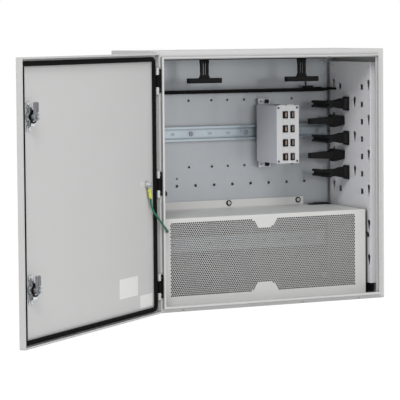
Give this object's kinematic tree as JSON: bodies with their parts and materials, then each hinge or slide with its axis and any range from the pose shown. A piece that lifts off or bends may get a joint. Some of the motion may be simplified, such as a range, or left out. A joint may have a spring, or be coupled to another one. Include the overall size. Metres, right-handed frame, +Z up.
{
  "type": "roadside utility cabinet",
  "caption": "Sheet-steel equipment cabinet with a hinged, lockable door, rail-mounted module, cable guides and a perforated cover over its lower compartment.",
  "frame": {"origin": "centre of the cabinet's bottom face", "axes": "+X to the right seen from the front, +Y from the front to the back, +Z up"},
  "size_m": [1.0577, 0.6313, 0.6],
  "materials": {
    "enclosure_paint": "light grey powder coat",
    "cover_paint": "warm light grey powder coat",
    "rack_paint": "light grey powder coat",
    "galvanised": "galvanised sheet",
    "zinc_plate": "bright zinc plating",
    "steel": "plain steel",
    "black_paint": "satin black",
    "black_plastic": "moulded black plastic",
    "rubber": "black rubber",
    "case_grey": "light grey moulded case",
    "front_white": "white front plate",
    "contacts": "dull contact metal",
    "cast_grey": "die-cast grey",
    "lead_green": "green insulation",
    "sleeve_yellow": "yellow-green sleeve"
  },
  "bodies": {
    "cabinet": {"cabinet_shell": "enclosure_paint", "gland_plate": "galvanised", "gland_seal": "rubber", "gland_screws": "steel", "mounting_plate": "galvanised", "plate_standoffs": "zinc_plate", "plate_nuts": "zinc_plate", "side_rack_right": "rack_paint", "side_rack_left": "rack_paint", "din_rail_upper": "zinc_plate", "din_rail_lower": "zinc_plate", "rail_screws": "steel", "lacing_shelf": "black_paint", "shelf_clip": "black_plastic", "roof_guide_left": "black_plastic", "roof_guide_right": "black_plastic", "wall_guide_top": "black_plastic", "wall_guide_middle": "black_plastic", "wall_guide_bottom": "black_plastic", "wall_finger_upper": "black_plastic", "wall_finger_lower": "black_plastic", "module_case": "case_grey", "module_front": "front_white", "module_ports": "black_plastic", "module_contacts": "contacts", "module_screws": "steel", "module_clips": "black_plastic", "module_rail_clip": "black_plastic", "cover": "cover_paint", "cover_screws": "steel", "cover_grommet": "rubber", "cable_hook": "black_plastic", "hinge_block_top": "black_paint", "hinge_block_middle": "black_paint", "hinge_block_bottom": "black_paint", "hinge_pins": "steel", "hinge_screws": "steel"},
    "door": {"door_pan": "enclosure_paint", "door_seal": "rubber", "door_knuckles": "enclosure_paint", "earth_stud": "steel", "earth_nut": "zinc_plate", "earth_lug": "steel", "earth_sleeve": "sleeve_yellow", "earth_lead": "lead_green", "lock_upper_housing": "zinc_plate", "lock_lower_housing": "zinc_plate", "lock_upper_bracket": "zinc_plate", "lock_lower_bracket": "zinc_plate", "lock_rings": "black_plastic", "lock_screws": "steel"},
    "lock_upper": {"lock_upper_core": "steel", "lock_upper_cam": "cast_grey", "lock_upper_nut": "zinc_plate"},
    "lock_lower": {"lock_lower_core": "steel", "lock_lower_cam": "cast_grey", "lock_lower_nut": "zinc_plate"}
  },
  "joints": [
    {"name": "door_hinge", "type": "hinge", "parent": "cabinet", "child": "door", "pos_m": [-0.2935, -0.134, 0.297], "axis": [0, 0, 1], "range_deg": [0, 141.3], "deforming": ["earth_lead"]},
    {"name": "lock_upper_turn", "type": "hinge", "parent": "door", "child": "lock_upper", "pos_m": [-0.71094, -0.49021, 0.474], "axis": [0.6252, -0.7804, 0], "range_deg": [0, 90]},
    {"name": "lock_lower_turn", "type": "hinge", "parent": "door", "child": "lock_lower", "pos_m": [-0.71094, -0.49021, 0.12], "axis": [0.6252, -0.7804, 0], "range_deg": [0, 90]}
  ]
}
